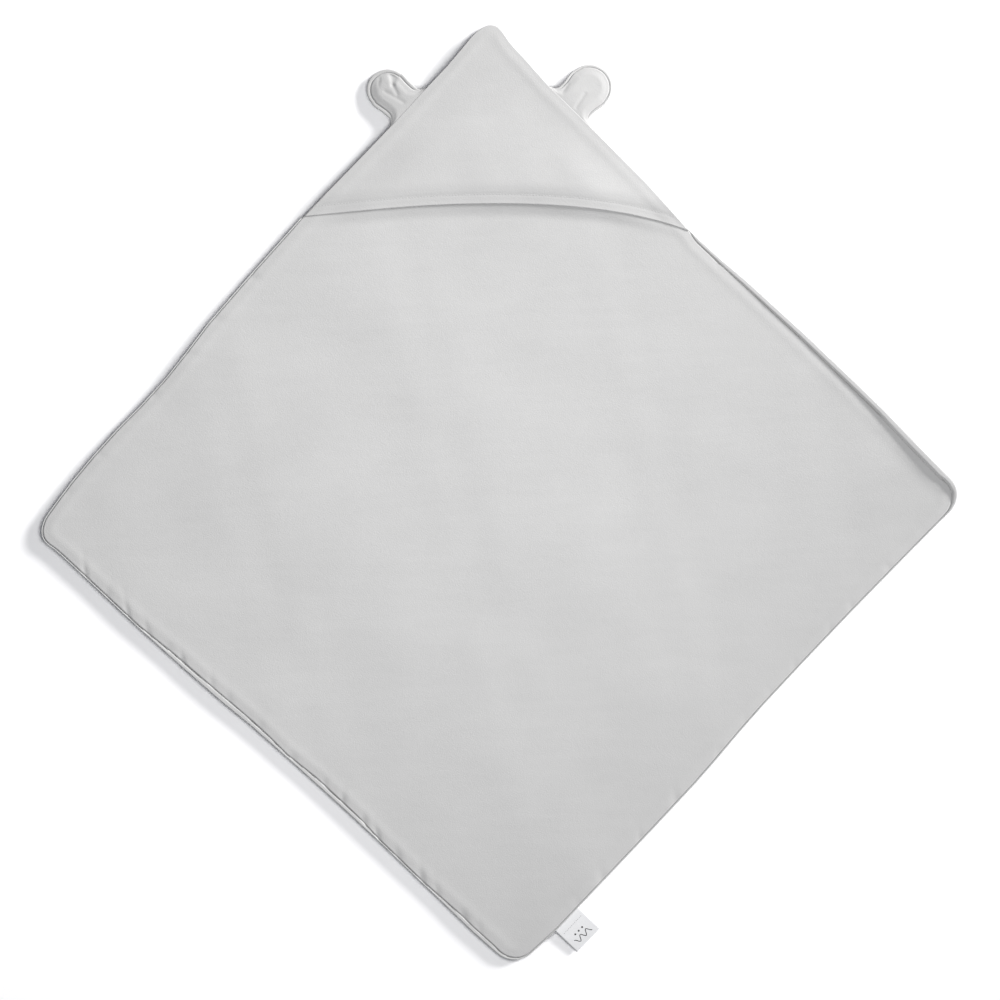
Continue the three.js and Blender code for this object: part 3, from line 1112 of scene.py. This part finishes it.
for side, ear in ears.items():
    body = "ear_" + side
    along, out = ear.grid(0)
    inside = ear.inside(along, out, 0)
    level = ear.level(along, out)
    across_rim = 2 * np.clip(inside / ear.rim, 0, 1) - 1
    rim = ear_ply * 0.8 * (1 - across_rim**4) ** 0.25 - ply_gap
    under = (ear_ply + ear_puff * smooth(inside / (12 * mm))) * rounding(inside, ear_round)
    back = shell(
        body + "_back_ply", ear_cloth(ear, along, out, level + rim),
        ear_cloth(ear, along, out, np.minimum(level - under, level + rim)), ear_finish,
    )
    along, out = ear.grid(ear.rim)
    inside = ear.inside(along, out, ear.rim)
    level = ear.level(along, out) + ply_gap
    raised = ear_ply + ear_puff * smooth(inside / (10 * mm))
    raised = raised * (0.6 + 0.4 * rounding(inside, ear_round))
    raised = np.maximum(raised - ear.crease(along, out) * smooth(inside / (3 * mm)), raised * 0.12)
    front = shell(
        body + "_front_ply", ear_cloth(ear, along, out, level + raised),
        ear_cloth(ear, along, out, level), ear_finish,
    )
    turn = np.linspace(0, math.pi, 50)
    sewn_in = ear.rim + seam_allowance
    low = np.linspace(-2 * mm, ear.head, 16)[:-1]
    low_width = ear.half_width(low, sewn_in)
    line_along = np.concatenate((low_width, (ear.radius - sewn_in) * np.cos(turn), -low_width[::-1]))
    line_out = np.concatenate((low, ear.head + (ear.radius - sewn_in) * np.sin(turn), low[::-1]))
    x, y = ear.place(line_along, line_out)
    line = (x, y, ear.level(line_along, line_out) + ply_gap)
    row = sew(body + "_stitches", [line], seam_thread, ear_stitch, 31)
    start = (*ear.place(0, 0), 0)
    end = (*ear.place(0, ear_bend), 0)
    width, length = 2 * float(ear.half_width(np.array(0), 0)), ear.head + ear.radius + ear_tuck
    for piece, node, slot in (
        (back, "_back", "towelling"), (front, "_front", "towelling"), (row, "_seam", "thread"),
    ):
        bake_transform(piece)
        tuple(start)
        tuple(end)
        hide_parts(body + node)
    declare_sheet(back, ["floor"], (width, length))
    declare_sheet(front, [body + "_back_ply"], (width, length))

# ------------------------------
# The label: a white satin ribbon folded in half, its ends caught in the towel's lower right seam. It
# carries a line of grey stitches and a small stitched wave with three dots, and no words.

ribbon_width = 40 * mm
ribbon_reach = 36 * mm
ribbon_tuck = 4 * mm
ribbon_thick = 0.5 * mm
ribbon_fold = 0.65 * mm
ribbon_stitch = (1.7 * mm, 0.8 * mm, 0.6 * mm, 0.25 * mm)
motif_stitch = (1.4 * mm, -0.7 * mm, 1.1 * mm, 0.3 * mm)
label_shift = 2.6 * mm
label_origin = np.array(fold_joints["label_flip"]["pos_m"][:2]) - label_shift * lower_right.along


def label_place(along, out):
    return laid_from(label_origin, -lower_right.along, lower_right.out, along, out)


def label_level(along, out):
    """The height of the ribbon's middle: it droops a little from the seam, one corner up."""
    base = float(seam_level(*(np.array(value) for value in label_place(0, -2 * mm))))
    reach = np.clip(out / ribbon_reach, 0, 1)
    return base - 1.1 * mm * reach + 0.7 * mm * reach**2 * np.sin(along / ribbon_width * 2.2 + 0.4)


def satin(name):
    """Woven polyester satin, faintly blue white: close floating warp threads with a soft gloss."""
    finish = Finish(name)
    coordinates = finish.place()
    heading = math.atan2(lower_right.along[1], lower_right.along[0])
    turned = finish.add("ShaderNodeMapping", {}, {"Vector": coordinates, "Rotation": (0, 0, -heading)})

    def threads(direction, scale):
        settings = {"wave_type": "BANDS", "bands_direction": direction}
        inputs = {"Vector": turned, "Scale": scale, "Distortion": 0.6, "Detail": 1.0}
        inputs["Detail Scale"] = 2.0
        return finish.add("ShaderNodeTexWave", settings, inputs, output=1)

    warp, weft = threads("X", 420.0), threads("Y", 300.0)
    weave = warp * 0.7 + weft * 0.3
    cloud = finish.add("ShaderNodeTexNoise", {}, {"Vector": coordinates, "Scale": 90.0, "Detail": 2.0})
    mix = weave * 0.7 + cloud * 0.3
    colour = finish.between(mix, (0.595, 0.60, 0.61), (0.71, 0.715, 0.725))
    bump = finish.bump(weave, 0.25, 0.1 * mm)
    rough = 0.34 + cloud * 0.16
    return finish.end(Base_Color=colour, Roughness=rough, Normal=bump, Specular_IOR_Level=0.4)


near_fold = ribbon_reach - np.array((2.2, 1.5, 0.9)) * mm
leg = np.concatenate((np.linspace(-ribbon_tuck, ribbon_reach - 3 * mm, 26), near_fold))
bend = np.linspace(0, math.pi, 9)
tip_out = ribbon_reach - ribbon_fold
fold_out = np.concatenate((leg, tip_out + ribbon_fold * np.sin(bend), leg[::-1]))
leg_high = np.full(leg.shape, 1.0)
fold_high = np.concatenate((leg_high, np.cos(bend), -leg_high)) * ribbon_fold
slope_out, slope_high = np.gradient(fold_out), np.gradient(fold_high)
slope = np.hypot(slope_out, slope_high)
normal_out, normal_high = -slope_high / slope, slope_out / slope


def ribbon_side(sign):
    """One face of the folded ribbon, as a grid of points."""
    across = np.linspace(-0.5, 0.5, 25) * ribbon_width
    out, along = np.meshgrid(fold_out + sign * normal_out * ribbon_thick / 2, across, indexing="ij")
    high = (fold_high + sign * normal_high * ribbon_thick / 2)[:, None]
    return np.stack((*label_place(along, out), label_level(along, out) + high), -1)


satin_finish = satin("label_satin")
ribbon = shell("label_ribbon_cloth", ribbon_side(1), ribbon_side(-1), satin_finish)
label_thread = thread_finish("label_thread", 0.26)
motif_thread = thread_finish("motif_thread", 0.05)


def label_line(along, out):
    high = ribbon_fold + ribbon_thick / 2 + 0.05 * mm
    return (*label_place(along, out), label_level(along, out) + high)


plain = np.linspace(-0.36, 0.36, 30) * ribbon_width
plain_line = label_line(plain, np.full(plain.shape, 9.6 * mm))
plain_stitches = sew("label_stitches", [plain_line], label_thread, ribbon_stitch, 41)
wave_along = np.linspace(-12, 12, 84) * mm
wave_out = 27.5 * mm + 3.0 * mm * np.sin(wave_along / (24 * mm) * 5 * math.pi)
wave_lines = [label_line(wave_along, wave_out)]
for dot in (-6, 0, 6):
    turn = np.linspace(0, 2 * math.pi, 13)
    wave_lines.append(label_line((dot + 0.7 * np.cos(turn)) * mm, (20.0 + 0.7 * np.sin(turn)) * mm))
wave_stitches = sew("label_wave", wave_lines, motif_thread, motif_stitch, 42)

label_start = (*label_place(0, 0), 0)
label_end = (*label_place(0, 5 * mm), 0)
for piece, slot in ((ribbon, "satin"), (plain_stitches, "thread"), (wave_stitches, "thread")):
    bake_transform(piece)
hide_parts("label_ribbon")
declare_sheet(ribbon, ["floor"], (ribbon_width, 2 * (ribbon_reach + ribbon_tuck)))
